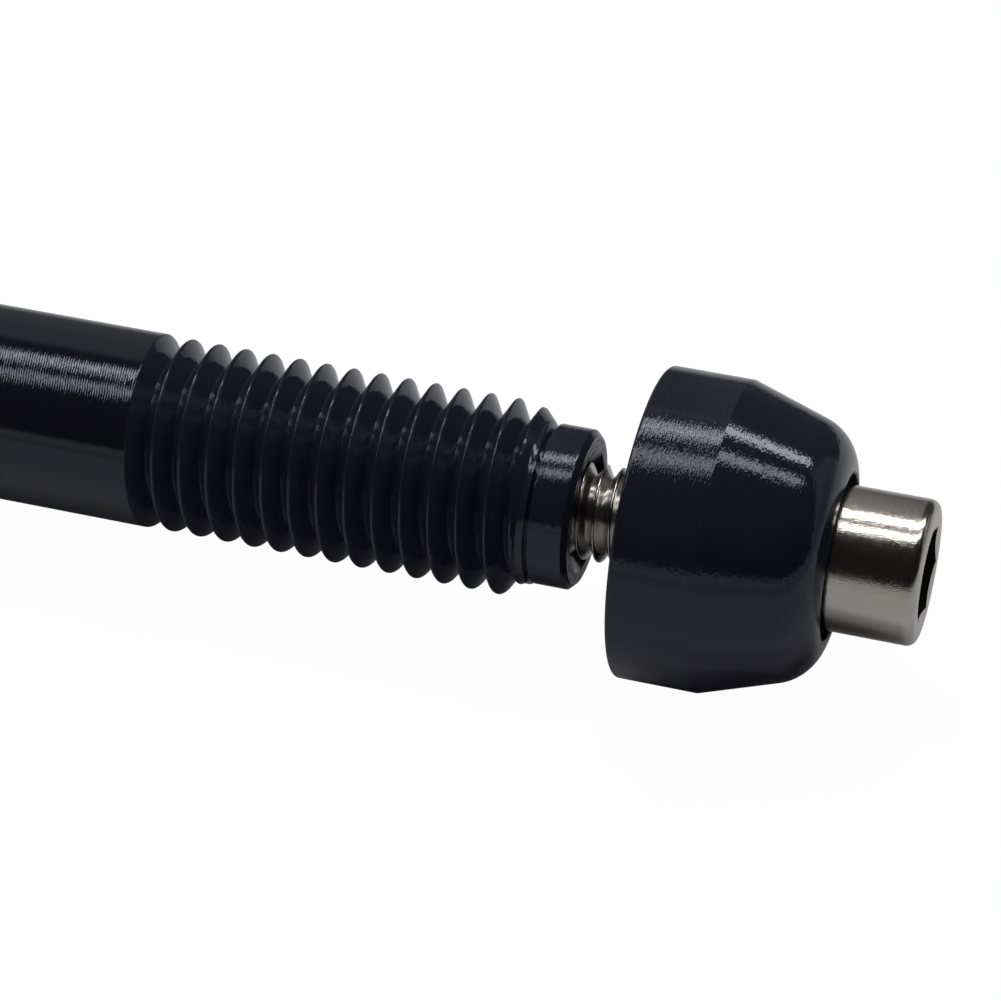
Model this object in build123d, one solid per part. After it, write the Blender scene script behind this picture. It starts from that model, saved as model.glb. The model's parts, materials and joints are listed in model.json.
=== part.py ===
from build123d import *
import os
from math import atan2, ceil, cos, degrees, radians, sin, tan

# A bicycle thru axle of the kind that carries a removable cone on its threaded end.
# Millimetres. The axis lies along X, and the origin is on it, in the plane of the seat under the head.
# +X points to the threaded end. The pieces stand as photographed, with the cap screw part way in.

# Axle head
HEAD_DIAMETER = 19.0
HEAD_LENGTH = 8.0
HEAD_EDGE_CHAMFER = 1.0
HEAD_SEAT_CHAMFER = 0.4

# Axle shaft, from the seat under the head to the tip face
AXLE_LENGTH = 174.0
SHAFT_DIAMETER = 12.0

# Thread of the axle: metric 12, coarse pitch, right hand
THREAD_DIAMETER = 12.0
THREAD_PITCH = 1.75
THREAD_LENGTH = 24.6
THREAD_DEPTH = 1.2
THREAD_TURN = -50.0
FLANK_ANGLE = 30.0
CREST_TRUNCATION = 0.16
GROOVE_OVERCUT = 0.05
THREAD_END_CHAMFER = 1.0
RUN_OUT_TURNS = 0.4

# Plain pilot at the tip, which centres the cone, and the narrow relief between it and the thread
PILOT_DIAMETER = 9.8
PILOT_LENGTH = 2.65
PILOT_CHAMFER = 0.35
RELIEF_WIDTH = 0.22
RELIEF_DEPTH = 0.27

# Hex sockets of the axle, one in the head and one in the tip
HEX_SIDES = 6
KEY_ACROSS_FLATS = 6.0
KEY_CLEARANCE = 0.1
HEAD_SOCKET_DEPTH = 6.0
HEAD_SOCKET_TURN = 0.0
TIP_SOCKET_DEPTH = 5.0
TIP_SOCKET_TURN = -40.0
SOCKET_LEAD_IN = 0.25

# End cone
CONE_DIAMETER = 19.0
CONE_LENGTH = 11.85
CONE_COLLAR_LENGTH = 5.0
CONE_TAPER_ANGLE = 18.0
CONE_END_ROUND = 3.2
CONE_END_CUTS = 5
CONE_RIM_CHAMFER = 0.3
RECESS_DIAMETER = 10.1
RECESS_DEPTH = 0.7
PILOT_POCKET_DEPTH = 2.5

# Cap screw, metric 6; its thread is drawn as a plain shank at the crests
SCREW_DIAMETER = 5.9
SCREW_LENGTH = 25.0
SCREW_TIP_CHAMFER = 0.6
SCREW_HEAD_DIAMETER = 8.8
SCREW_HEAD_LENGTH = 6.0
SCREW_HEAD_CHAMFER = 0.6
SCREW_SEAT_CHAMFER = 0.2
SCREW_KEY_ACROSS_FLATS = 5.0
SCREW_SOCKET_DEPTH = 3.0
SCREW_SOCKET_TURN = -18.0

# Fits between the pieces
PILOT_CLEARANCE = 0.1
SCREW_BORE_CLEARANCE = 0.08
TAPPED_HOLE_CLEARANCE = 0.05
SCREW_SEAT_CLEARANCE = 0.02

# Cone as photographed, standing off the tip, and the room left below the screw once the cone is seated
CONE_GAP = 3.65
HOLE_BEYOND_SCREW = 1.5
DRILL_HALF_ANGLE = 59.0

# Places along X and radii that follow from the sizes above
SHAFT_RADIUS = SHAFT_DIAMETER / 2
CREST_RADIUS = THREAD_DIAMETER / 2 - CREST_TRUNCATION
ROOT_RADIUS = CREST_RADIUS - THREAD_DEPTH
GROOVE_REACH = SHAFT_RADIUS + GROOVE_OVERCUT - ROOT_RADIUS
PILOT_RADIUS = PILOT_DIAMETER / 2
SHOULDER_X = AXLE_LENGTH - PILOT_LENGTH
THREAD_START_X = SHOULDER_X - THREAD_LENGTH
CONE_X = AXLE_LENGTH + CONE_GAP
CONE_END_X = CONE_X + CONE_LENGTH
RECESS_FLOOR_X = CONE_END_X - RECESS_DEPTH
SCREW_SEAT_X = RECESS_FLOOR_X + SCREW_SEAT_CLEARANCE
SCREW_TIP_X = SCREW_SEAT_X - SCREW_LENGTH
SEATING_TRAVEL = CONE_GAP + PILOT_POCKET_DEPTH
TAPPED_HOLE_END_X = SCREW_TIP_X - SEATING_TRAVEL - HOLE_BEYOND_SCREW


def turned(*points):
    """A solid of revolution about X from corners given as (x, radius)."""
    return revolve(make_face(Polyline(*points, close=True)), Axis.X)


def rod(start_x, end_x, radius):
    """A plain round bar along X."""
    return turned((start_x, 0), (start_x, radius), (end_x, radius), (end_x, 0))


def hex_socket(mouth_x, outward, across_flats, depth, turn):
    """A hexagonal hole with a conical lead-in; outward is +1 or -1, the way along X that its mouth faces."""
    flat_radius = across_flats / 2
    lead_in_radius = flat_radius / cos(radians(180 / HEX_SIDES)) + SOCKET_LEAD_IN
    lead_in_end_x = mouth_x - outward * (lead_in_radius - flat_radius)
    mouth = Plane(origin=(mouth_x, 0, 0), x_dir=(0, 0, 1), z_dir=(outward, 0, 0))
    hexagon = RegularPolygon(flat_radius, HEX_SIDES, major_radius=False, rotation=turn)
    lead_in = turned(
        (mouth_x, 0),
        (mouth_x, lead_in_radius),
        (lead_in_end_x, flat_radius),
        (lead_in_end_x, 0),
    )
    return extrude(mouth * hexagon, -depth) + lead_in


def groove_section(start):
    """The thread's groove in the plane through the axis, standing on a point of its root line."""
    mouth_half = GROOVE_REACH * tan(radians(FLANK_ANGLE))
    outward = Vector(0, start.Y, start.Z).normalized()
    plane = Plane(origin=start, x_dir=outward, z_dir=outward.cross(Vector(1, 0, 0)))
    corners = [(0, 0), (GROOVE_REACH, -mouth_half), (GROOVE_REACH, mouth_half)]
    return plane * make_face(Polyline(*corners, close=True))


def groove_turn(index):
    """One full turn of the thread's groove, counted from the start of the full thread."""
    start_x = THREAD_START_X + index * THREAD_PITCH
    path = Helix(THREAD_PITCH, THREAD_PITCH, ROOT_RADIUS, center=(start_x, 0, 0), direction=(1, 0, 0))
    path = Rot(X=THREAD_TURN) * path
    return sweep(groove_section(path @ 0), path, is_frenet=True)


def groove_run_out():
    """The stretch where the groove sinks from the shaft's surface to its full depth."""
    length = RUN_OUT_TURNS * THREAD_PITCH
    slope = degrees(atan2(GROOVE_REACH, length))
    path = Helix(
        THREAD_PITCH / cos(radians(slope)),
        length,
        ROOT_RADIUS + GROOVE_REACH,
        center=(THREAD_START_X - length, 0, 0),
        direction=(1, 0, 0),
        cone_angle=-slope,
    )
    path = Rot(X=THREAD_TURN - 360 * RUN_OUT_TURNS) * path
    return sweep(groove_section(path @ 0), path, is_frenet=True)


def make_threaded_bar():
    """The head, the shaft and the thread, up to the thread's end face."""
    head_radius = HEAD_DIAMETER / 2
    bar = turned(
        (-HEAD_LENGTH, 0),
        (-HEAD_LENGTH, head_radius - HEAD_EDGE_CHAMFER),
        (HEAD_EDGE_CHAMFER - HEAD_LENGTH, head_radius),
        (-HEAD_SEAT_CHAMFER, head_radius),
        (0, head_radius - HEAD_SEAT_CHAMFER),
        (0, SHAFT_RADIUS),
        (THREAD_START_X, SHAFT_RADIUS),
        (THREAD_START_X, CREST_RADIUS),
        (SHOULDER_X - THREAD_END_CHAMFER, CREST_RADIUS),
        (SHOULDER_X, CREST_RADIUS - THREAD_END_CHAMFER),
        (SHOULDER_X, 0),
    )
    turns_past_end_face = ceil(THREAD_LENGTH / THREAD_PITCH) + 1
    for index in range(turns_past_end_face):
        bar = bar - groove_turn(index)
    return bar - groove_run_out()


def make_pilot():
    """The plain pilot, with the relief groove at its foot."""
    relief_radius = PILOT_RADIUS - RELIEF_DEPTH
    return turned(
        (SHOULDER_X, 0),
        (SHOULDER_X, relief_radius),
        (SHOULDER_X + RELIEF_WIDTH, relief_radius),
        (SHOULDER_X + RELIEF_WIDTH, PILOT_RADIUS),
        (AXLE_LENGTH - PILOT_CHAMFER, PILOT_RADIUS),
        (AXLE_LENGTH, PILOT_RADIUS - PILOT_CHAMFER),
        (AXLE_LENGTH, 0),
    )


def make_axle():
    """The axle: threaded bar and pilot, with two hex sockets and the tapped hole for the screw."""
    key_hole = KEY_ACROSS_FLATS + KEY_CLEARANCE
    hole_radius = SCREW_DIAMETER / 2 + TAPPED_HOLE_CLEARANCE
    drill_point = hole_radius / tan(radians(DRILL_HALF_ANGLE))
    tapped_hole = turned(
        (TAPPED_HOLE_END_X - drill_point, 0),
        (TAPPED_HOLE_END_X, hole_radius),
        (AXLE_LENGTH, hole_radius),
        (AXLE_LENGTH, 0),
    )
    axle = make_threaded_bar() + make_pilot()
    axle = axle - hex_socket(-HEAD_LENGTH, -1, key_hole, HEAD_SOCKET_DEPTH, HEAD_SOCKET_TURN)
    axle = axle - hex_socket(AXLE_LENGTH, 1, key_hole, TIP_SOCKET_DEPTH, TIP_SOCKET_TURN)
    return axle - tapped_hole


def end_round_corners(taper_corner):
    """Corners of the straight cuts that follow the cone's end round from its taper to its end face."""
    turn = radians(90 - CONE_TAPER_ANGLE)
    centre_x = CONE_END_X - CONE_END_ROUND
    centre_radius = taper_corner - CONE_END_ROUND * tan(turn / 2)
    angles = [turn * (1 - cut / CONE_END_CUTS) for cut in range(CONE_END_CUTS + 1)]
    return [(centre_x + CONE_END_ROUND * cos(a), centre_radius + CONE_END_ROUND * sin(a)) for a in angles]


def make_end_cone():
    """The end cone: collar, taper and end round, bored for the screw, its head and the axle's pilot."""
    collar_radius = CONE_DIAMETER / 2
    shoulder_x = CONE_X + CONE_COLLAR_LENGTH
    taper_length = CONE_LENGTH - CONE_COLLAR_LENGTH
    taper_corner = collar_radius - taper_length * tan(radians(CONE_TAPER_ANGLE))
    cone = turned(
        (CONE_X, 0),
        (CONE_X, collar_radius - CONE_RIM_CHAMFER),
        (CONE_X + CONE_RIM_CHAMFER, collar_radius),
        (shoulder_x, collar_radius),
        *end_round_corners(taper_corner),
        (CONE_END_X, 0),
    )
    pilot_pocket = rod(CONE_X, CONE_X + PILOT_POCKET_DEPTH, PILOT_RADIUS + PILOT_CLEARANCE)
    screw_bore = rod(CONE_X, CONE_END_X, SCREW_DIAMETER / 2 + SCREW_BORE_CLEARANCE)
    recess = rod(RECESS_FLOOR_X, CONE_END_X, RECESS_DIAMETER / 2)
    return cone - pilot_pocket - screw_bore - recess


def make_cap_screw():
    """The cap screw: round head with a hex socket, and its shank."""
    head_radius = SCREW_HEAD_DIAMETER / 2
    head_end_x = SCREW_SEAT_X + SCREW_HEAD_LENGTH
    shank_radius = SCREW_DIAMETER / 2
    key_hole = SCREW_KEY_ACROSS_FLATS + KEY_CLEARANCE
    screw = turned(
        (SCREW_TIP_X, 0),
        (SCREW_TIP_X, shank_radius - SCREW_TIP_CHAMFER),
        (SCREW_TIP_X + SCREW_TIP_CHAMFER, shank_radius),
        (SCREW_SEAT_X, shank_radius),
        (SCREW_SEAT_X, head_radius - SCREW_SEAT_CHAMFER),
        (SCREW_SEAT_X + SCREW_SEAT_CHAMFER, head_radius),
        (head_end_x - SCREW_HEAD_CHAMFER, head_radius),
        (head_end_x, head_radius - SCREW_HEAD_CHAMFER),
        (head_end_x, 0),
    )
    return screw - hex_socket(head_end_x, 1, key_hole, SCREW_SOCKET_DEPTH, SCREW_SOCKET_TURN)


def main():
    """Build the three pieces and write each to its own file."""
    os.makedirs("parts", exist_ok=True)
    pieces = {"axle": make_axle(), "end_cone": make_end_cone(), "cap_screw": make_cap_screw()}
    for name, piece in pieces.items():
        export_step(piece, f"parts/{name}.step")
        print(name, round(piece.volume, 2))


if __name__ == "__main__":
    main()
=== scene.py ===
"""A bicycle thru axle with its end cone and cap screw, dressed for a studio picture.

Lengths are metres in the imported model's frame: the axis lies along X, +X points to the threaded end,
and the origin is on the axis in the plane of the seat under the head. Angles about the axis are degrees
from +Y towards +Z.
"""

import json
import logging
from dataclasses import dataclass, field
from enum import Enum
from math import cos, pi, radians, sin, tan
from typing import Any

import bmesh
import bpy
from mathutils import Matrix, Vector


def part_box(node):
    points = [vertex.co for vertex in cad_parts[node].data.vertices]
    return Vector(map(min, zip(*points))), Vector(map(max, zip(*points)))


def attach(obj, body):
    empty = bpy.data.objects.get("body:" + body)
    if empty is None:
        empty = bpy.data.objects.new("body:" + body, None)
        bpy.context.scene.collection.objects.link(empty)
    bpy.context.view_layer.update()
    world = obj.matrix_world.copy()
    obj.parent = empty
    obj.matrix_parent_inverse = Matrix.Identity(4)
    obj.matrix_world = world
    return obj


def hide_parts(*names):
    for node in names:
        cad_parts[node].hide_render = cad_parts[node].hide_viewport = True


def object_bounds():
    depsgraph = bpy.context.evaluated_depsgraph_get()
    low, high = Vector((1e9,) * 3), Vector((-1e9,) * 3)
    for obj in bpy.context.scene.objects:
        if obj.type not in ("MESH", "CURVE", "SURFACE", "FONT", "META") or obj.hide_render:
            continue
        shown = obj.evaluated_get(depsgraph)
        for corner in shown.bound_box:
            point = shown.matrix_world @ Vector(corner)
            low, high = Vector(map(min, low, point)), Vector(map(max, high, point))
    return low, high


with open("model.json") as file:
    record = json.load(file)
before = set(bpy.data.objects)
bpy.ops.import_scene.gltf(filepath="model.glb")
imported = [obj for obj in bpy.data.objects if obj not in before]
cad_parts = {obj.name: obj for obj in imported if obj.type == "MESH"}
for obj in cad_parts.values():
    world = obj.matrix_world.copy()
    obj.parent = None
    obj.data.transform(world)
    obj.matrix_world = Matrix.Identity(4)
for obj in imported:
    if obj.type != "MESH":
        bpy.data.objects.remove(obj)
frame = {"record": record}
CAD_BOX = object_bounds()

LOG = logging.getLogger("thru_axle")

MM = 0.001
SEGMENTS = 144
WELD_DISTANCE = 1e-6
SHARP_ANGLE = radians(38)
FLOOR_GAP = 0.02 * MM
NOISE_MEAN = 0.5

Profile = list[tuple[float, float]]
Colour = tuple[float, float, float, float]

WHITE: Colour = (1.0, 1.0, 1.0, 1.0)


class Band(Enum):
    """The kinds of machined surface on a piece, which are its material slots in order."""

    TURNED = 0
    THREAD = 1
    BORE = 2
    PILOT = 3
    TIP_FACE = 4


class Value:
    """A node's output that adds Math nodes where it is used in an expression."""

    def __init__(self, graph: "Graph", socket: bpy.types.NodeSocket) -> None:
        """Keep the socket and the graph that it belongs to."""
        self.graph = graph
        self.socket = socket

    def math(self, operation: str, *terms: "Value | float") -> "Value":
        """Add one Math node.

        Args:
            operation: The node's operation.
            terms: Its inputs in order.

        Returns:
            The node's result.
        """
        return self.graph.value("ShaderNodeMath", {"operation": operation}, dict(enumerate(terms)))

    def __add__(self, other: "Value | float") -> "Value":
        """Sum of both."""
        return self.math("ADD", self, other)

    def __radd__(self, other: float) -> "Value":
        """Sum with a number first."""
        return self.math("ADD", other, self)

    def __sub__(self, other: "Value | float") -> "Value":
        """Difference of both."""
        return self.math("SUBTRACT", self, other)

    def __rsub__(self, other: float) -> "Value":
        """Difference from a number."""
        return self.math("SUBTRACT", other, self)

    def __mul__(self, other: "Value | float") -> "Value":
        """Product of both."""
        return self.math("MULTIPLY", self, other)

    def __rmul__(self, other: float) -> "Value":
        """Product with a number first."""
        return self.math("MULTIPLY", other, self)

    def __truediv__(self, other: "Value | float") -> "Value":
        """Quotient of both."""
        return self.math("DIVIDE", self, other)

    def __rtruediv__(self, other: float) -> "Value":
        """Quotient of a number by this."""
        return self.math("DIVIDE", other, self)

    def __pow__(self, other: "Value | float") -> "Value":
        """This to a power."""
        return self.math("POWER", self, other)

    def least(self, other: "Value | float", blend: "Value | float" = 0.0) -> "Value":
        """The lower of both, rounded over a blend distance."""
        return self.math("SMOOTH_MIN", self, other, blend)

    def most(self, other: "Value | float", blend: "Value | float" = 0.0) -> "Value":
        """The higher of both, rounded over a blend distance."""
        return self.math("SMOOTH_MAX", self, other, blend)

    def clamped(self, low: "Value | float", high: "Value | float") -> "Value":
        """This, held between two bounds."""
        return self.math("MINIMUM", self.math("MAXIMUM", self, low), high)

    def wrapped(self, low: float, high: float) -> "Value":
        """This, brought between two bounds by whole steps."""
        return self.math("WRAP", self, high, low)

    def sine(self) -> "Value":
        """Sine of this angle."""
        return self.math("SINE", self)

    def cosine(self) -> "Value":
        """Cosine of this angle."""
        return self.math("COSINE", self)

    def step(self, start: float, end: float) -> "Value":
        """A smooth rise from 0 at start to 1 at end."""
        sockets = {"Value": self, "From Min": start, "From Max": end}
        return self.graph.value("ShaderNodeMapRange", {"interpolation_type": "SMOOTHSTEP"}, sockets)


class Graph:
    """A node tree that is filled by expressions."""

    def __init__(self, tree: bpy.types.NodeTree) -> None:
        """Start on an empty tree."""
        self.tree = tree
        tree.nodes.clear()

    def add(
        self,
        kind: str,
        settings: dict[str, Any] | None = None,
        sockets: dict[str | int, Any] | None = None,
    ) -> bpy.types.Node:
        """Add one node.

        Args:
            kind: The node's type.
            settings: Its properties, set first; stops are a ramp's positions and colours.
            sockets: Numbers, colours or linked values for its inputs.

        Returns:
            The node.
        """
        node = self.tree.nodes.new(kind)
        for name, setting in (settings or {}).items():
            if name == "stops":
                self.set_stops(node.color_ramp, setting)
            else:
                setattr(node, name, setting)
        for key, given in (sockets or {}).items():
            if isinstance(given, Value):
                self.tree.links.new(given.socket, node.inputs[key])
            else:
                node.inputs[key].default_value = given
        return node

    def value(
        self,
        kind: str,
        settings: dict[str, Any] | None = None,
        sockets: dict[str | int, Any] | None = None,
        output: str | int = 0,
    ) -> Value:
        """Add one node and take one of its outputs.

        Args:
            kind: The node's type.
            settings: Its properties.
            sockets: Its inputs.
            output: The output's name or number.

        Returns:
            That output.
        """
        return Value(self, self.add(kind, settings, sockets).outputs[output])

    def set_stops(self, ramp: bpy.types.ColorRamp, stops: list[tuple[float, float]]) -> None:
        """Give a ramp its grey levels.

        Args:
            ramp: The ramp, which starts with two stops.
            stops: Positions from 0 to 1 and the grey level at each.
        """
        while len(ramp.elements) < len(stops):
            ramp.elements.new(1.0)
        for element, (position, level) in zip(ramp.elements, stops):
            element.position = position
            element.color = (level, level, level, 1.0)

    def parts(self, vector: Value) -> tuple[Value, Value, Value]:
        """The X, Y and Z of a vector."""
        node = self.add("ShaderNodeSeparateXYZ", None, {0: vector})
        return Value(self, node.outputs[0]), Value(self, node.outputs[1]), Value(self, node.outputs[2])

    def vector(self, x: Value | float, y: Value | float, z: Value | float) -> Value:
        """A vector from its three parts."""
        return self.value("ShaderNodeCombineXYZ", None, {0: x, 1: y, 2: z})

    def noise(self, at: Value, detail: float, roughness: float) -> Value:
        """Noise between 0 and 1 at a place measured in the noise's own grains."""
        sockets = {"Vector": at, "Scale": 1.0, "Detail": detail, "Roughness": roughness}
        return self.value("ShaderNodeTexNoise", {"noise_dimensions": "3D"}, sockets, "Fac")

    def blend(self, factor: Value, low: Colour, high: Colour) -> Value:
        """A colour between two."""
        return self.value("ShaderNodeMix", {"data_type": "RGBA"}, {0: factor, 6: low, 7: high}, 2)


def new_material(name: str) -> tuple[bpy.types.Material, Graph]:
    """Start a material.

    Args:
        name: Its name.

    Returns:
        The material and the graph that fills its tree.
    """
    material = bpy.data.materials.new(name)
    material.use_nodes = True
    return material, Graph(material.node_tree)


def new_object(
    name: str, shell: bmesh.types.BMesh, materials: list[bpy.types.Material]
) -> bpy.types.Object:
    """Make an object of a finished shell and put it in the scene.

    Args:
        name: The name of the object and its mesh.
        shell: The shell, which is freed.
        materials: The object's materials in the order of its slots.

    Returns:
        The object.
    """
    mesh = bpy.data.meshes.new(name)
    shell.to_mesh(mesh)
    shell.free()
    for material in materials:
        mesh.materials.append(material)
    made = bpy.data.objects.new(name, mesh)
    bpy.context.scene.collection.objects.link(made)
    return made


@dataclass(frozen=True)
class TurnedMetal:
    """A machined metal with the fine relief that its tools leave.

    Marks are noise drawn out round the axis and grains are noise drawn out along it. Scallops are the
    even hollows, one for each turn of the tool's feed, that make a lamp's reflection a row of fine lines.
    """

    name: str
    colour: Colour
    tint: Colour
    roughness: float
    roughness_spread: float
    metallic: float = 0.0
    reflection: Colour = WHITE
    mark_width: float = 0.12 * MM
    mark_length: float = 0.7 * MM
    mark_depth: float = 0.004 * MM
    grain_width: float = 0.13 * MM
    grain_length: float = 0.4 * MM
    grain_depth: float = 0.0
    feed: float = 0.16 * MM
    scallop_depth: float = 0.0
    cloud_size: float = 4.0 * MM
    cloud_share: float = 0.5
    smoothest: float = 0.05
    radial_share: float = 0.618

    def material(self) -> bpy.types.Material:
        """Make the finish as a material.

        Returns:
            The material.
        """
        material, graph = new_material(self.name)
        x, y, z = graph.parts(graph.value("ShaderNodeTexCoord", None, None, "Object"))
        across = x + (y * y + z * z) ** 0.5 * self.radial_share
        marks = graph.noise(
            graph.vector(across / self.mark_width, y / self.mark_length, z / self.mark_length),
            detail=2.0,
            roughness=0.6,
        )
        grains = graph.noise(
            graph.vector(x / self.grain_length, y / self.grain_width, z / self.grain_width),
            detail=1.0,
            roughness=0.5,
        )
        clouds = graph.noise(
            graph.vector(*(part / self.cloud_size for part in (x, y, z))),
            detail=2.0,
            roughness=0.5,
        )
        hollow = (across * (2 / self.feed)).wrapped(-1.0, 1.0)
        height = (
            marks * self.mark_depth
            + grains * self.grain_depth
            + hollow * hollow * self.scallop_depth
        )
        bump = graph.value("ShaderNodeBump", None, {"Strength": 1.0, "Distance": 1.0, "Height": height})
        middle = NOISE_MEAN * (1 + self.cloud_share)
        rough = self.roughness + (marks + clouds * self.cloud_share - middle) * self.roughness_spread
        sockets = {
            "Base Color": graph.blend(clouds, self.colour, self.tint),
            "Metallic": self.metallic,
            "Specular Tint": self.reflection,
            "Roughness": rough.clamped(self.smoothest, 1.0),
            "Normal": bump,
        }
        shader = graph.value("ShaderNodeBsdfPrincipled", None, sockets)
        graph.add("ShaderNodeOutputMaterial", None, {"Surface": shader})
        return material


DEEP_BLACK: Colour = (0.0078, 0.0081, 0.0122, 1.0)
BLACK: Colour = (0.0096, 0.0099, 0.0156, 1.0)
BLUE_BLACK: Colour = (0.0115, 0.0120, 0.0220, 1.0)
LIGHT_BLACK: Colour = (0.0182, 0.0189, 0.0335, 1.0)
COOL_LIGHT: Colour = (0.84, 0.86, 1.0, 1.0)
DIM_LIGHT: Colour = (0.66, 0.68, 0.80, 1.0)
SHAFT_FINISH = TurnedMetal(
    name="black_anodised_turned",
    colour=DEEP_BLACK,
    tint=BLACK,
    roughness=0.09,
    roughness_spread=0.12,
    reflection=COOL_LIGHT,
    mark_depth=0.01 * MM,
    scallop_depth=0.0045 * MM,
)
THREAD_FINISH = TurnedMetal(
    name="black_anodised_thread",
    colour=LIGHT_BLACK,
    tint=LIGHT_BLACK,
    roughness=0.11,
    roughness_spread=0.08,
    reflection=COOL_LIGHT,
    mark_length=0.45 * MM,
    mark_depth=0.016 * MM,
)
CONE_FINISH = TurnedMetal(
    name="black_anodised_cone",
    colour=BLUE_BLACK,
    tint=LIGHT_BLACK,
    roughness=0.07,
    roughness_spread=0.06,
    reflection=COOL_LIGHT,
    mark_width=0.09 * MM,
    mark_length=0.42 * MM,
    mark_depth=0.019 * MM,
    grain_depth=0.003 * MM,
)
TIP_FACE_FINISH = TurnedMetal(
    name="black_anodised_faced",
    colour=BLUE_BLACK,
    tint=LIGHT_BLACK,
    roughness=0.28,
    roughness_spread=0.5,
    reflection=DIM_LIGHT,
    mark_width=0.1 * MM,
    mark_length=1.2 * MM,
    mark_depth=0.09 * MM,
)
BORE_FINISH = TurnedMetal(
    name="black_anodised_bore",
    colour=BLACK,
    tint=BLUE_BLACK,
    roughness=0.35,
    roughness_spread=0.1,
    reflection=COOL_LIGHT,
    mark_length=3.0 * MM,
)
STEEL: Colour = (0.62, 0.60, 0.56, 1.0)
WARM_STEEL: Colour = (0.52, 0.49, 0.44, 1.0)
DULL_STEEL: Colour = (0.54, 0.525, 0.50, 1.0)
# Near-black steel: painted shade for the hollow of the screw's socket.
PAINTED_SHADE_STEEL: Colour = (0.045, 0.044, 0.042, 1.0)
SCREW_FINISH = TurnedMetal(
    name="stainless_bright",
    colour=STEEL,
    tint=WARM_STEEL,
    metallic=1.0,
    roughness=0.16,
    roughness_spread=0.2,
    grain_width=0.08 * MM,
    grain_length=0.16 * MM,
    grain_depth=0.008 * MM,
)
SCREW_THREAD_FINISH = TurnedMetal(
    name="stainless_thread",
    colour=DULL_STEEL,
    tint=DULL_STEEL,
    metallic=1.0,
    roughness=0.2,
    roughness_spread=0.1,
)
# The socket's stainless walls get a near-black colour, which paints the shade inside the socket.
SCREW_SOCKET_PAINTED_SHADE = TurnedMetal(
    name="stainless_socket_painted_shade",
    colour=PAINTED_SHADE_STEEL,
    tint=PAINTED_SHADE_STEEL,
    metallic=1.0,
    roughness=0.4,
    roughness_spread=0.1,
)


@dataclass(frozen=True)
class Corner:
    """A corner of a turned outline and the radius that breaks its edge."""

    x: float
    radius: float
    edge: float = 0.0


def outline(corners: list[Corner], steps: int = 4, margin: float = 0.12 * MM) -> Profile:
    """Follow the corners of a turned outline, each broken by its edge radius.

    Args:
        corners: The corners in order.
        steps: Straight steps in each broken edge.
        margin: Distance from a broken edge to the ring that keeps its neighbour's shading flat.

    Returns:
        The outline's points as (x, radius).
    """
    points: Profile = []
    last = len(corners) - 1
    for index, corner in enumerate(corners):
        here = Vector((corner.x, corner.radius))
        if corner.edge == 0.0 or index in (0, last):
            points.append((here.x, here.y))
            continue
        before = Vector((corners[index - 1].x, corners[index - 1].radius)) - here
        after = Vector((corners[index + 1].x, corners[index + 1].radius)) - here
        into, out = before.normalized(), after.normalized()
        half = into.angle(out) / 2
        reach = corner.edge / tan(half)
        centre = here + (into + out).normalized() * (corner.edge / sin(half))
        first, final = here + into * reach - centre, here + out * reach - centre
        quarter_before, quarter_after = (before.length - reach) / 4, (after.length - reach) / 4
        points.append(tuple(here + into * (reach + min(margin, quarter_before))))
        for step in range(steps + 1):
            points.append(tuple(centre + first.slerp(final, step / steps) * corner.edge))
        points.append(tuple(here + out * (reach + min(margin, quarter_after))))
    return points


@dataclass
class Turning:
    """A turned surface about X, made of rings that are bridged by quads.

    Each ring has one (x, radius) for each segment, so a ring can also follow a hexagon.
    """

    phase: float = 0.0
    rings: list[Profile] = field(default_factory=list)
    bands: list[Band] = field(default_factory=list)

    def angle(self, index: int) -> float:
        """The angle of a ring's point in radians."""
        return radians(self.phase) + 2 * pi * index / SEGMENTS

    def add_ring(self, ring: Profile, band: Band) -> None:
        """Add a ring and the kind of surface that leads to it."""
        self.rings.append(ring)
        self.bands.append(band)

    def add_outline(self, points: Profile, band: Band = Band.TURNED) -> None:
        """Add a plain round ring for each point of an outline.

        Args:
            points: The outline.
            band: The kind of surface.
        """
        for point in points:
            self.add_ring([point] * SEGMENTS, band)

    def add_hexagon(self, flat: float, corner: float, depth_at: "HexDepth", band: Band) -> None:
        """Add a ring that follows a hexagon.

        Args:
            flat: Distance from the axis to a side.
            corner: Angle of one corner in degrees.
            depth_at: Where the ring lies along the axis for each distance from it.
            band: The kind of surface.
        """
        ring: Profile = []
        for index in range(SEGMENTS):
            turn = (self.angle(index) - radians(corner)) % (pi / 3) - pi / 6
            reach = flat / cos(turn)
            ring.append((depth_at.x(reach), reach))
        self.add_ring(ring, band)

    def fill(self, mesh: bmesh.types.BMesh) -> None:
        """Add the rings and the quads between them to a mesh.

        Args:
            mesh: The mesh to add to.
        """
        rows = []
        for ring in self.rings:
            row = []
            for index, (x, radius) in enumerate(ring):
                turn = self.angle(index)
                row.append(mesh.verts.new((x, radius * cos(turn), radius * sin(turn))))
            rows.append(row)
        for row, following, band in zip(rows, rows[1:], self.bands[1:]):
            for index in range(SEGMENTS):
                side = (index + 1) % SEGMENTS
                corners = (row[index], row[side], following[side], following[index])
                mesh.faces.new(corners).material_index = band.value


@dataclass(frozen=True)
class HexDepth:
    """Where a hexagon's ring lies along the axis: on a lead-in of a given slope, or flat."""

    mouth: float
    outward: float
    rim: float
    slope: float = 0.0

    def x(self, reach: float) -> float:
        """The ring's place for a distance from the axis."""
        return self.mouth - self.outward * (self.rim - reach) * self.slope


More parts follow.
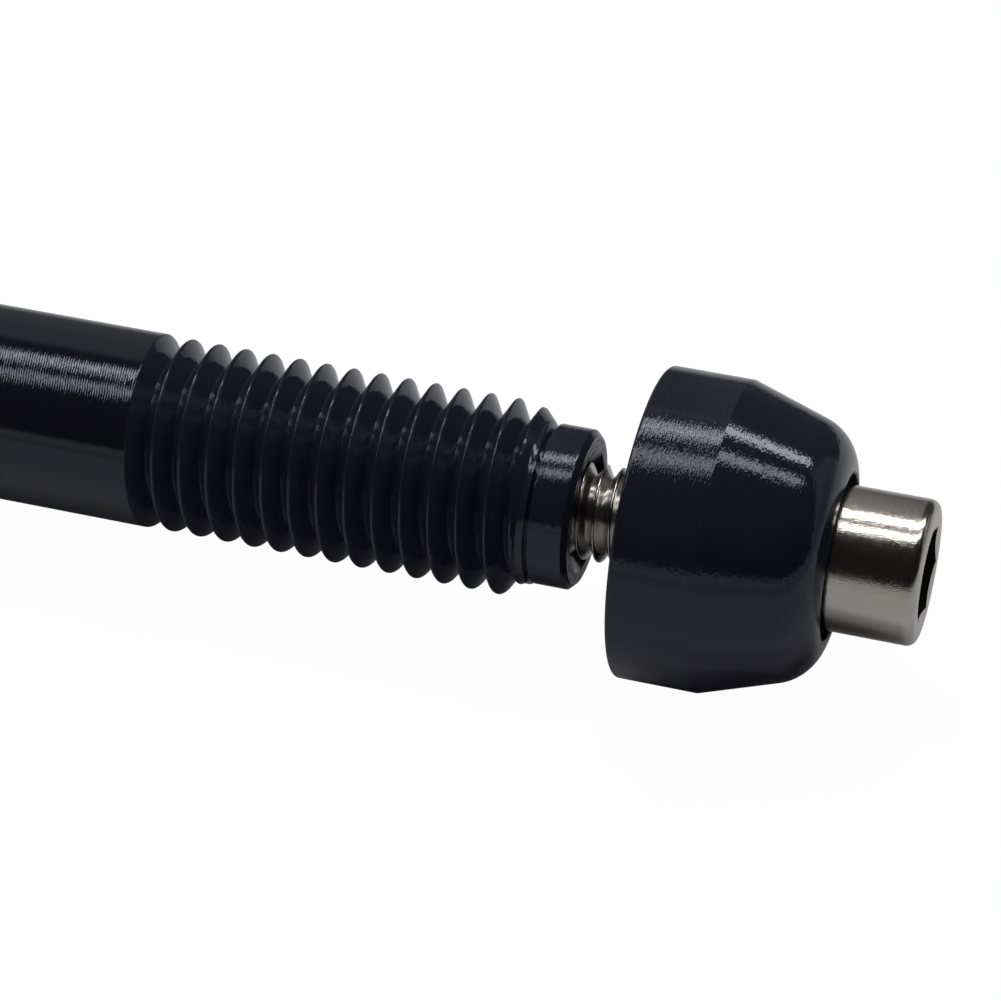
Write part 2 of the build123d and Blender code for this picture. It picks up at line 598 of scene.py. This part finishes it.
@dataclass(frozen=True)
class HexSocket:
    """A hexagonal key socket with a conical lead-in.

    Its floor is flat, or a hole goes on from it.
    """

    mouth: float
    outward: float
    across_flats: float
    depth: float
    corner: float
    lead_in: float = 0.25 * MM
    lead_slope: float = 1.0

    @property
    def flat(self) -> float:
        """Distance from the axis to a side."""
        return self.across_flats / 2

    @property
    def rim(self) -> float:
        """Radius of the lead-in at the mouth."""
        return self.flat / cos(pi / 6) + self.lead_in

    @property
    def floor(self) -> float:
        """Where the floor lies along the axis."""
        return self.mouth - self.outward * self.depth

    def cut_into(self, turning: Turning) -> None:
        """Carry a turning on from the face round the mouth to the floor's edge.

        Args:
            turning: The turning, which has reached the mouth's rim.
        """
        lead_in = HexDepth(self.mouth, self.outward, self.rim, self.lead_slope)
        flat_floor = HexDepth(self.floor, self.outward, self.rim)
        turning.add_hexagon(self.flat, self.corner, lead_in, Band.TURNED)
        turning.add_hexagon(self.flat, self.corner, flat_floor, Band.BORE)


@dataclass
class HelicalThread:
    """A screw thread as one sheet that winds round the axis from plain stock to a chamfered end.

    Places along it are counted from the start of the full thread, in the direction of the chamfered end.
    """

    name: str
    origin: float
    direction: float
    phase: float
    pitch: float
    length: float
    stock_radius: float
    crest_radius: float
    root_radius: float
    chamfer: float
    end_band: float
    end_radius: float
    inner_radius: float
    crest_blend: float
    root_round: float
    run_out_turns: float = 0.4
    spare_turns: int = 2
    entry: float = 0.3 * MM
    entry_blend: float = 0.3
    end_fade: float = 0.4 * MM
    end_drop: float = 1.5
    bevel_blend: float = 0.3
    stock_skin: float = 0.01 * MM
    flank: float = 30.0
    columns: int = 24
    crowding: float = 0.7

    def inputs(self) -> dict[str, float | int]:
        """The tree's inputs by name.

        Returns:
            Each input's value.
        """
        first = -self.spare_turns
        last = int(self.length / self.pitch) + self.spare_turns
        return {
            "Rows": (last - first) * SEGMENTS + 1,
            "Columns": self.columns + 1,
            "First Turn": float(first),
            "Turns": float(last - first),
            "Origin": self.origin,
            "Direction": self.direction,
            "Phase": radians(self.phase),
            "Pitch": self.pitch,
            "Length": self.length,
            "Stock Radius": self.stock_radius,
            "Crest Radius": self.crest_radius,
            "Root Radius": self.root_radius,
            "Root Round": self.root_round,
            "Crowding": self.crowding / (4 * pi),
            "Flank Slope": 1 / tan(radians(self.flank)),
            "Run Out Slope": (self.stock_radius - self.root_radius) / self.run_out_turns,
            "Chamfer": self.chamfer,
            "End Band": self.end_band,
            "End Radius": self.end_radius,
            "Inner Radius": self.inner_radius,
            "End Edge": (1 + self.crowding) * self.pitch / self.columns,
            "Crest Blend": self.crest_blend,
        }

    def tree(self, inputs: dict[str, float | int]) -> bpy.types.NodeTree:
        """Build the tree that winds a flat grid into the thread.

        Args:
            inputs: The tree's inputs by name.

        Returns:
            The tree.
        """
        tree = bpy.data.node_groups.new(self.name + "_winding", "GeometryNodeTree")
        graph = Graph(tree)
        tree.interface.new_socket("Geometry", in_out="OUTPUT", socket_type="NodeSocketGeometry")
        for name, amount in inputs.items():
            kind = "NodeSocketInt" if isinstance(amount, int) else "NodeSocketFloat"
            tree.interface.new_socket(name, in_out="INPUT", socket_type=kind)
        tree.interface.new_socket("Finish", in_out="INPUT", socket_type="NodeSocketMaterial")
        group = graph.add("NodeGroupInput")
        given = {name: Value(graph, group.outputs[name]) for name in [*inputs, "Finish"]}
        sizes = {
            "Size X": 1.0,
            "Size Y": 1.0,
            "Vertices X": given["Rows"],
            "Vertices Y": given["Columns"],
        }
        sheet = graph.value("GeometryNodeMeshGrid", None, sizes, "Mesh")
        place = graph.vector(*self.wound(graph, given))
        wound = graph.value("GeometryNodeSetPosition", None, {"Geometry": sheet, "Position": place})
        weld = {"Geometry": wound, "Distance": WELD_DISTANCE}
        welded = graph.value("GeometryNodeMergeByDistance", None, weld)
        real = graph.value("GeometryNodeRealizeInstances", None, {"Geometry": welded})
        finish = {"Geometry": real, "Material": given["Finish"]}
        dressed = graph.value("GeometryNodeSetMaterial", None, finish)
        graph.add("NodeGroupOutput", None, {"Geometry": dressed})
        return tree

    def wound(self, graph: Graph, given: dict[str, Value]) -> tuple[Value, Value, Value]:
        """Work out where each point of the flat grid goes.

        Args:
            graph: The tree.
            given: The tree's inputs.

        Returns:
            The point's X, Y and Z.
        """
        # Rows follow the turns. Columns cross one pitch, and crowd at the root and at the crest.
        along, across, _ = graph.parts(graph.value("GeometryNodeInputPosition"))
        turn = given["First Turn"] + (along + 0.5) * given["Turns"]
        crowded = across - (across * (4 * pi)).sine() * given["Crowding"]
        beyond = (turn + crowded) * given["Pitch"]
        run = beyond.clamped(given["Pitch"] * -1.0, given["Length"])
        # The groove is a V with a round root, and grows shallow before the full thread.
        offset = (run / given["Pitch"] - turn).wrapped(-0.5, 0.5) * given["Pitch"]
        rounding = given["Root Round"]
        reach = (offset * offset + rounding * rounding) ** 0.5 - rounding
        shallow = (turn * -1.0).most(0.0) * given["Run Out Slope"]
        groove = given["Root Radius"] + reach * given["Flank Slope"] + shallow
        # The crest leaves the stock's radius and ends in a bevel.
        entered = run.step(0.0, self.entry)
        crest = given["Stock Radius"] + (given["Crest Radius"] - given["Stock Radius"]) * entered
        left = given["Length"] - run
        sloped = (left - given["End Band"]).most(0.0)
        bevel = given["End Radius"] + sloped * (crest - given["End Radius"]) / given["Chamfer"]
        eased = entered * (1 - self.entry_blend) + self.entry_blend
        fade = (left / self.end_fade).clamped(0.0, 1.0) * eased * given["Crest Blend"]
        profile = crest.least(bevel, fade * self.bevel_blend).least(groove, fade)
        # Past the end the sheet closes in to the inner radius.
        drop = (beyond - given["Length"] - given["End Edge"]).most(0.0) * self.end_drop
        radius = (profile - drop).most(given["Inner Radius"].least(profile))
        angle = turn * (2 * pi) * given["Direction"] + given["Phase"]
        x = given["Origin"] + run * given["Direction"]
        return x, radius * angle.cosine(), radius * angle.sine()

    def band(self, place: Vector) -> Band:
        """The kind of surface at a place on the sheet.

        Args:
            place: The place.

        Returns:
            Plain turned stock before the first groove, thread after it.
        """
        ahead = (self.origin - place.x) * self.direction
        on_stock = place.yz.length > self.stock_radius - self.stock_skin
        return Band.TURNED if ahead > 0.0 and on_stock else Band.THREAD

    def mesh(self, finish: bpy.types.Material) -> bpy.types.Mesh:
        """Wind the thread and turn it into a plain mesh.

        Args:
            finish: The thread's material.

        Returns:
            The mesh.
        """
        inputs = self.inputs()
        tree = self.tree(inputs)
        carrier = bpy.data.objects.new(self.name, bpy.data.meshes.new(self.name + "_flat"))
        bpy.context.scene.collection.objects.link(carrier)
        modifier = carrier.modifiers.new("winding", "NODES")
        modifier.node_group = tree
        for item in tree.interface.items_tree:
            if item.in_out == "INPUT":
                modifier[item.identifier] = finish if item.name == "Finish" else inputs[item.name]
        evaluated = carrier.evaluated_get(bpy.context.evaluated_depsgraph_get())
        mesh = bpy.data.meshes.new_from_object(evaluated)
        carrier.modifiers.remove(modifier)
        bpy.data.objects.remove(carrier)
        return mesh


@dataclass
class Piece:
    """One dressed piece: its meshes welded into one object that stands for a CAD node."""

    name: str
    node: str
    body: str
    slot: str
    finishes: list[TurnedMetal]

    def assemble(self, turnings: list[Turning], threads: list[HelicalThread]) -> bpy.types.Object:
        """Weld turned surfaces and threads into one closed object.

        Args:
            turnings: The turned surfaces.
            threads: The threads that join them.

        Returns:
            The object, riding on its body.
        """
        materials = [finish.material() for finish in self.finishes]
        shell = bmesh.new()
        for thread in threads:
            start = len(shell.faces)
            shell.from_mesh(thread.mesh(materials[Band.THREAD.value]))
            shell.faces.ensure_lookup_table()
            for face in shell.faces[start:]:
                face.material_index = thread.band(face.calc_center_median()).value
        for turning in turnings:
            turning.fill(shell)
        bmesh.ops.remove_doubles(shell, verts=shell.verts, dist=WELD_DISTANCE)
        bmesh.ops.dissolve_degenerate(shell, edges=shell.edges, dist=WELD_DISTANCE)
        bmesh.ops.recalc_face_normals(shell, faces=shell.faces)
        for face in shell.faces:
            face.smooth = True
        open_edges = sum(1 for edge in shell.edges if not edge.is_manifold)
        piece = new_object(self.name, shell, materials)
        piece.data.set_sharp_from_angle(angle=SHARP_ANGLE)
        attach(piece, self.body)
        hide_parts(self.node)
        LOG.info("%s: %d faces, %d open edges", self.name, len(piece.data.polygons), open_edges)
        return piece


@dataclass
class Axle:
    """The axle: head, shaft, thread, pilot, two key sockets and the tapped hole."""

    head_end: float
    tip: float
    head_radius: float
    shaft_radius: float
    thread_start: float
    head_edge: float = 1.0 * MM
    seat_edge: float = 0.4 * MM
    thread_pitch: float = 1.75 * MM
    thread_phase: float = 40.0
    crest_radius: float = 5.95 * MM
    root_radius: float = 4.6 * MM
    crest_blend: float = 0.09 * MM
    root_round: float = 0.05 * MM
    thread_end_chamfer: float = 0.95 * MM
    thread_end_band: float = 0.4 * MM
    thread_end_radius: float = 5.0 * MM
    pilot_radius: float = 4.9 * MM
    pilot_length: float = 2.65 * MM
    pilot_chamfer: float = 0.35 * MM
    relief_width: float = 0.22 * MM
    relief_radius: float = 4.58 * MM
    key: float = 6.1 * MM
    head_socket_depth: float = 6.0 * MM
    head_socket_corner: float = 90.0
    head_drill_radius: float = 2.2 * MM
    head_drill_depth: float = 0.8 * MM
    tip_socket_depth: float = 5.0 * MM
    tip_socket_corner: float = 50.0
    hole_radius: float = 3.0 * MM
    hole_end: float = 156.17 * MM
    drill_half_angle: float = 59.0
    break_edge: float = 0.08 * MM

    @property
    def shoulder(self) -> float:
        """Where the thread ends and the pilot starts."""
        return self.tip - self.pilot_length

    def thread(self) -> HelicalThread:
        """The coarse thread.

        Returns:
            The thread.
        """
        return HelicalThread(
            name="axle_thread",
            origin=self.thread_start,
            direction=1.0,
            phase=self.thread_phase,
            pitch=self.thread_pitch,
            length=self.shoulder - self.thread_start,
            stock_radius=self.shaft_radius,
            crest_radius=self.crest_radius,
            root_radius=self.root_radius,
            chamfer=self.thread_end_chamfer,
            end_band=self.thread_end_band,
            end_radius=self.thread_end_radius,
            inner_radius=self.relief_radius,
            crest_blend=self.crest_blend,
            root_round=self.root_round,
        )

    def head_turning(self) -> Turning:
        """Turn the head with its socket, and the shaft up to the thread.

        Returns:
            The turned surface.
        """
        socket = HexSocket(
            mouth=self.head_end,
            outward=-1.0,
            across_flats=self.key,
            depth=self.head_socket_depth,
            corner=self.head_socket_corner,
        )
        drill_point = [
            (socket.floor + self.head_drill_depth, 0.0),
            (socket.floor, self.head_drill_radius),
        ]
        turning = Turning()
        turning.add_outline(drill_point, Band.BORE)
        inner = Turning()
        inner.add_outline([(self.head_end, socket.rim)])
        socket.cut_into(inner)
        for ring in reversed(inner.rings):
            turning.add_ring(ring, Band.BORE)
        turning.bands[-1] = Band.TURNED
        edge = self.break_edge
        corners = [
            Corner(self.head_end, socket.rim),
            Corner(self.head_end, self.head_radius - self.head_edge, edge),
            Corner(self.head_end + self.head_edge, self.head_radius, edge),
            Corner(-self.seat_edge, self.head_radius, edge),
            Corner(0.0, self.head_radius - self.seat_edge, edge),
            Corner(0.0, self.shaft_radius),
            Corner(self.thread_start - self.thread_pitch, self.shaft_radius),
        ]
        turning.add_outline(outline(corners))
        return turning

    def tip_turning(self) -> Turning:
        """Turn the pilot, the tip face with its socket and the tapped hole.

        Returns:
            The turned surface.
        """
        socket = HexSocket(
            mouth=self.tip,
            outward=1.0,
            across_flats=self.key,
            depth=self.tip_socket_depth,
            corner=self.tip_socket_corner,
        )
        turning = Turning()
        edge = self.break_edge
        corners = [
            Corner(self.shoulder, self.relief_radius),
            Corner(self.shoulder + self.relief_width, self.relief_radius),
            Corner(self.shoulder + self.relief_width, self.pilot_radius, edge),
            Corner(self.tip - self.pilot_chamfer, self.pilot_radius, edge),
            Corner(self.tip, self.pilot_radius - self.pilot_chamfer, edge),
            Corner(self.tip, socket.rim),
        ]
        turning.add_outline(outline(corners), Band.PILOT)
        turning.bands[-1] = Band.TIP_FACE
        socket.cut_into(turning)
        drill_point = self.hole_radius / tan(radians(self.drill_half_angle))
        bore = [
            (socket.floor, self.hole_radius),
            (self.hole_end, self.hole_radius),
            (self.hole_end - drill_point, 0.0),
        ]
        turning.add_outline(bore, Band.BORE)
        return turning

    def build(self) -> bpy.types.Object:
        """Build and dress the axle.

        Returns:
            The object.
        """
        finishes = [SHAFT_FINISH, THREAD_FINISH, BORE_FINISH, CONE_FINISH, TIP_FACE_FINISH]
        piece = Piece(
            name="thru_axle_turned",
            node="axle",
            body="axle",
            slot="black_anodised",
            finishes=finishes,
        )
        return piece.assemble([self.head_turning(), self.tip_turning()], [self.thread()])


@dataclass
class EndCone:
    """The end cone: collar, taper and end round, bored for the screw, its head and the axle's pilot."""

    start: float
    collar_radius: float
    length: float = 11.85 * MM
    collar_length: float = 5.0 * MM
    taper_angle: float = 18.0
    end_round: float = 3.2 * MM
    rim_edge: float = 0.22 * MM
    taper_edge: float = 0.25 * MM
    recess_radius: float = 5.05 * MM
    recess_depth: float = 0.7 * MM
    bore_radius: float = 3.03 * MM
    pocket_radius: float = 5.0 * MM
    pocket_depth: float = 2.5 * MM
    pocket_chamfer: float = 0.2 * MM
    break_edge: float = 0.08 * MM

    @property
    def end(self) -> float:
        """Where the cone ends."""
        return self.start + self.length

    def outer_corners(self) -> list[Corner]:
        """Corners of the outside, from the rim to the recess.

        Returns:
            The corners.
        """
        shoulder = self.start + self.collar_length
        taper_corner = self.collar_radius - (self.end - shoulder) * tan(radians(self.taper_angle))
        return [
            Corner(self.start, self.pocket_radius + self.pocket_chamfer),
            Corner(self.start, self.collar_radius, self.rim_edge),
            Corner(shoulder, self.collar_radius, self.taper_edge),
            Corner(self.end, taper_corner, self.end_round),
            Corner(self.end, 0.0),
        ]

    def turning(self) -> Turning:
        """Turn the cone outside and inside.

        Returns:
            The turned surface.
        """
        turning = Turning()
        outside = outline(self.outer_corners(), steps=16)
        turning.add_outline([point for point in outside if point[1] > self.recess_radius])
        recess_floor = self.end - self.recess_depth
        inside = [
            Corner(self.end, self.recess_radius + self.break_edge),
            Corner(self.end - self.break_edge, self.recess_radius),
            Corner(recess_floor, self.recess_radius),
            Corner(recess_floor, self.bore_radius),
            Corner(self.start + self.pocket_depth, self.bore_radius),
            Corner(self.start + self.pocket_depth, self.pocket_radius),
            Corner(self.start + self.pocket_chamfer, self.pocket_radius),
            Corner(self.start, self.pocket_radius + self.pocket_chamfer),
        ]
        turning.add_outline(outline(inside), Band.BORE)
        return turning

    def build(self) -> bpy.types.Object:
        """Build and dress the cone.

        Returns:
            The object.
        """
        finishes = [CONE_FINISH, THREAD_FINISH, BORE_FINISH]
        piece = Piece(
            name="end_cone_turned",
            node="end_cone",
            body="cone",
            slot="black_anodised",
            finishes=finishes,
        )
        return piece.assemble([self.turning()], [])


@dataclass
class CapScrew:
    """The cap screw: round head with a hex socket, and its threaded shank."""

    tip: float
    head_end: float
    head_radius: float
    head_length: float = 6.0 * MM
    head_edge: float = 0.6 * MM
    seat_edge: float = 0.2 * MM
    neck_round: float = 0.15 * MM
    key: float = 5.1 * MM
    socket_depth: float = 3.0 * MM
    socket_corner: float = 38.0
    socket_lead_in: float = 0.03 * MM
    socket_lead_slope: float = 0.25
    drill_radius: float = 1.8 * MM
    drill_depth: float = 0.6 * MM
    shank_radius: float = 2.95 * MM
    thread_pitch: float = 1.0 * MM
    thread_phase: float = 73.0
    thread_columns: int = 16
    root_radius: float = 2.25 * MM
    crest_blend: float = 0.04 * MM
    root_round: float = 0.05 * MM
    plain_length: float = 1.5 * MM
    tip_chamfer: float = 0.72 * MM

    @property
    def tip_radius(self) -> float:
        """Radius of the flat end inside the tip's chamfer."""
        return self.shank_radius - self.tip_chamfer

    @property
    def seat(self) -> float:
        """Where the head's underside lies."""
        return self.head_end - self.head_length

    @property
    def phase(self) -> float:
        """Angle of the rings, so that the socket's corners fall on their points."""
        return self.socket_corner % (360 / SEGMENTS)

    def thread(self) -> HelicalThread:
        """The fine thread, which starts under the head and ends at the tip.

        Returns:
            The thread.
        """
        start = self.seat - self.plain_length - self.thread_pitch
        return HelicalThread(
            name="screw_thread",
            origin=start,
            direction=-1.0,
            phase=self.thread_phase,
            pitch=self.thread_pitch,
            length=start - self.tip,
            stock_radius=self.shank_radius,
            crest_radius=self.shank_radius,
            root_radius=self.root_radius,
            chamfer=self.tip_chamfer,
            end_band=0.0,
            end_radius=self.tip_radius,
            inner_radius=self.tip_radius,
            crest_blend=self.crest_blend,
            root_round=self.root_round,
            columns=self.thread_columns,
        )

    def turnings(self) -> list[Turning]:
        """Turn the head with its socket, and close the tip.

        Returns:
            The turned surfaces.
        """
        socket = HexSocket(
            mouth=self.head_end,
            outward=1.0,
            across_flats=self.key,
            depth=self.socket_depth,
            corner=self.socket_corner,
            lead_in=self.socket_lead_in,
            lead_slope=self.socket_lead_slope,
        )
        head = Turning(self.phase)
        corners = [
            Corner(self.seat - self.plain_length, self.shank_radius),
            Corner(self.seat, self.shank_radius, self.neck_round),
            Corner(self.seat, self.head_radius, self.seat_edge),
            Corner(self.head_end, self.head_radius, self.head_edge),
            Corner(self.head_end, socket.rim),
        ]
        head.add_outline(outline(corners, steps=8))
        socket.cut_into(head)
        drill_point = [(socket.floor, self.drill_radius), (socket.floor - self.drill_depth, 0.0)]
        head.add_outline(drill_point, Band.BORE)
        tip = Turning(self.phase)
        tip.add_outline([(self.tip, self.tip_radius), (self.tip, 0.0)])
        return [head, tip]

    def build(self) -> bpy.types.Object:
        """Build and dress the screw.

        Returns:
            The object.
        """
        finishes = [SCREW_FINISH, SCREW_THREAD_FINISH, SCREW_SOCKET_PAINTED_SHADE]
        piece = Piece(
            name="cap_screw_turned",
            node="cap_screw",
            body="screw",
            slot="stainless",
            finishes=finishes,
        )
        return piece.assemble(self.turnings(), [self.thread()])


@dataclass(frozen=True)
class StripLight:
    """A long lamp above the axle, turned a little against it.

    Its height is the angle from the front horizon, over the top, to the back. A turn to the right moves
    its far end backwards.
    """

    name: str
    height: float
    spread: float
    radiance: float
    turn: float = 20.5
    distance: float = 0.12
    length: float = 0.26
    shift: float = -0.045

    def build(self, target: Vector) -> None:
        """Place the lamp.

        Args:
            target: The point that it faces.
        """
        width = 2 * self.distance * tan(radians(self.spread) / 2)
        lamp = bpy.data.lights.new(self.name, "AREA")
        lamp.shape = "RECTANGLE"
        lamp.size = self.length
        lamp.size_y = width
        lamp.energy = self.radiance * pi * self.length * width
        height, turn = radians(self.height), radians(self.turn)
        away = Vector((0.0, -cos(height), sin(height)))
        backwards = Vector((0.0, sin(height), cos(height)))
        along = Vector((1.0, 0.0, 0.0)) * cos(turn) + backwards * sin(turn)
        axes = Matrix((along, away.cross(along), away)).transposed().to_4x4()
        holder = bpy.data.objects.new(self.name, lamp)
        spot = target + away * self.distance + along * self.shift
        holder.matrix_world = Matrix.Translation(spot) @ axes
        holder.visible_camera = False
        bpy.context.scene.collection.objects.link(holder)


@dataclass(frozen=True)
class ReflectionShadeCard:
    """A curved card behind the axle, which only shows in reflections, where its dim glow paints a dark
    reflection on the collar and the taper.

    Its low and high edges are angles about the axis.
    """

    name: str
    left: float
    right: float
    colour: Colour = (0.045, 0.045, 0.045, 1.0)
    distance: float = 0.1
    low: float = -4.0
    high: float = 54.0
    steps: int = 16

    def build(self) -> None:
        """Stand the card up."""
        shell = bmesh.new()
        rows = []
        for step in range(self.steps + 1):
            turn = radians(self.low + (self.high - self.low) * step / self.steps)
            y, z = self.distance * cos(turn), self.distance * sin(turn)
            rows.append([shell.verts.new((x, y, z)) for x in (self.left, self.right)])
        for row, following in zip(rows, rows[1:]):
            shell.faces.new((row[0], row[1], following[1], following[0]))
        material, graph = new_material(self.name)
        # Painted reflection: a dim grey glow that only reflections see, which darkens the cone's top.
        grey = graph.value("ShaderNodeEmission", None, {"Color": self.colour, "Strength": 1.0})
        graph.add("ShaderNodeOutputMaterial", None, {"Surface": grey})
        card = new_object(self.name, shell, [material])
        card.visible_camera = card.visible_diffuse = card.visible_shadow = False


@dataclass
class Studio:
    """The white table, the lamps, the grey cards that paint dark reflections, the pale room and the
    camera.
    """

    target: Vector
    floor_level: float
    image_side: int = 1001
    focal_pixels: float = 3500.0
    azimuth: float = 16.822
    elevation: float = 38.129
    distance: float = 0.21045
    target_pixel: tuple[float, float] = (587.36, 510.64)
    sensor: float = 36.0
    clip_start: float = 0.01
    floor_reach: float = 4.0
    paper: Colour = (0.74, 0.74, 0.76, 1.0)
    # Strength of the glow painted into the table away from the axle.
    fill: float = 0.2
    painted_fill_range: tuple[float, float] = (0.02, 0.1)
    glow: float = 1.06
    glow_share: float = 0.92
    backdrop: Colour = (0.95, 0.95, 0.95, 1.0)
    lamps: tuple[StripLight, ...] = (
        StripLight(name="back_strip", height=111.3, spread=7.0, radiance=8.0),
        StripLight(name="front_strip", height=88.0, spread=7.0, radiance=5.0),
    )
    cards: tuple[ReflectionShadeCard, ...] = (
        ReflectionShadeCard(name="collar_painted_reflection_card", left=147.0 * MM, right=164.0 * MM),
        ReflectionShadeCard(name="taper_painted_reflection_card", left=186.0 * MM, right=260.0 * MM),
    )
    room_stops: tuple[tuple[float, float], ...] = (
        (0.0, 0.44),
        (0.042, 0.44),
        (0.047, 0.01),
        (0.665, 0.012),
        (0.70, 0.33),
        (1.0, 0.14),
    )

    def build(self) -> None:
        """Set the whole studio up."""
        self.build_floor()
        self.build_room()
        for lamp in self.lamps:
            lamp.build(self.target)
        for card in self.cards:
            card.build()
        self.build_camera()
        bpy.context.scene.view_settings.view_transform = "Standard"

    def build_floor(self) -> None:
        """Lay the white table, which the camera sees as the picture's white ground."""
        shell = bmesh.new()
        corners = [(-1, -1), (1, -1), (1, 1), (-1, 1)]
        reach = self.floor_reach
        shell.faces.new([shell.verts.new((x * reach, y * reach, self.floor_level)) for x, y in corners])
        material, graph = new_material("white_table")
        paper = graph.value("ShaderNodeBsdfDiffuse", None, {"Color": self.paper})
        # The fill, a glow painted into the table, rises past both ends of the axle and in front of it.
        x, y, _ = graph.parts(graph.value("ShaderNodeTexCoord", None, None, "Object"))
        beyond = (x - self.target.x).most(x * -1.0).most(0.0)
        before = y.least(0.0)
        far = ((beyond * beyond + before * before) ** 0.5).step(*self.painted_fill_range) * self.fill
        fill = graph.value("ShaderNodeEmission", None, {"Color": far, "Strength": 1.0})
        lit = graph.value("ShaderNodeAddShader", None, {0: paper, 1: fill})
        glow = graph.value("ShaderNodeEmission", None, {"Color": WHITE, "Strength": self.glow})
        seen = graph.value("ShaderNodeLightPath", None, None, "Is Camera Ray") * self.glow_share
        mixed = graph.value("ShaderNodeMixShader", None, {0: seen, 1: lit, 2: glow})
        graph.add("ShaderNodeOutputMaterial", None, {"Surface": mixed})
        floor = new_object("white_table", shell, [material])

    def build_room(self) -> None:
        """Make the room: white low down in front, dark above it, pale behind."""
        world = bpy.data.worlds.new("pale_room")
        world.use_nodes = True
        bpy.context.scene.world = world
        graph = Graph(world.node_tree)
        _, y, z = graph.parts(graph.value("ShaderNodeTexCoord", None, None, "Generated"))
        height = z.math("ARCTAN2", z, y * -1.0) / pi
        room = graph.value("ShaderNodeValToRGB", {"stops": list(self.room_stops)}, {"Fac": height})
        lit = graph.value("ShaderNodeBackground", None, {"Color": room, "Strength": 1.0})
        plain = graph.value("ShaderNodeBackground", None, {"Color": self.backdrop, "Strength": 1.0})
        seen = graph.value("ShaderNodeLightPath", None, None, "Is Camera Ray")
        mixed = graph.value("ShaderNodeMixShader", None, {0: seen, 1: lit, 2: plain})
        graph.add("ShaderNodeOutputWorld", None, {"Surface": mixed})

    def build_camera(self) -> None:
        """Stand the camera where the picture was taken from."""
        turn, rise = radians(self.azimuth), radians(self.elevation)
        right = Vector((cos(turn), sin(turn), 0.0))
        ahead = Vector((-sin(turn) * cos(rise), cos(turn) * cos(rise), -sin(rise)))
        above = right.cross(ahead)
        middle = self.image_side / 2
        per_pixel = self.distance / self.focal_pixels
        shift_right = (self.target_pixel[0] - middle) * per_pixel
        shift_up = (middle - self.target_pixel[1]) * per_pixel
        camera = bpy.data.cameras.new("camera")
        camera.sensor_width = self.sensor
        camera.lens = self.sensor * self.focal_pixels / self.image_side
        camera.clip_start = self.clip_start
        holder = bpy.data.objects.new("camera", camera)
        axes = Matrix((right, above, -ahead)).transposed().to_4x4()
        spot = self.target - right * shift_right - above * shift_up - ahead * self.distance
        holder.matrix_world = Matrix.Translation(spot) @ axes
        bpy.context.scene.collection.objects.link(holder)
        bpy.context.scene.camera = holder


def main() -> None:
    """Build the pieces in order, then the studio."""
    logging.basicConfig(level=logging.INFO)
    mounts = {mount["name"]: mount for mount in frame["record"]["mounts"]}
    shaft = mounts["axle_shaft"]["dims"]
    axle_low, axle_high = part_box("axle")
    cone_low, cone_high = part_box("end_cone")
    screw_low, screw_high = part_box("cap_screw")
    axle = Axle(
        head_end=axle_low.x,
        tip=axle_high.x,
        head_radius=axle_high.z,
        shaft_radius=shaft["r_mm"] * MM,
        thread_start=shaft["length_mm"] * MM,
    )
    axle.build()
    EndCone(start=cone_low.x, collar_radius=cone_high.z).build()
    CapScrew(tip=screw_low.x, head_end=screw_high.x, head_radius=screw_high.z).build()
    Studio(target=Vector((axle.tip, 0.0, 0.0)), floor_level=CAD_BOX[0].z - FLOOR_GAP).build()


if __name__ == "__main__":
    main()
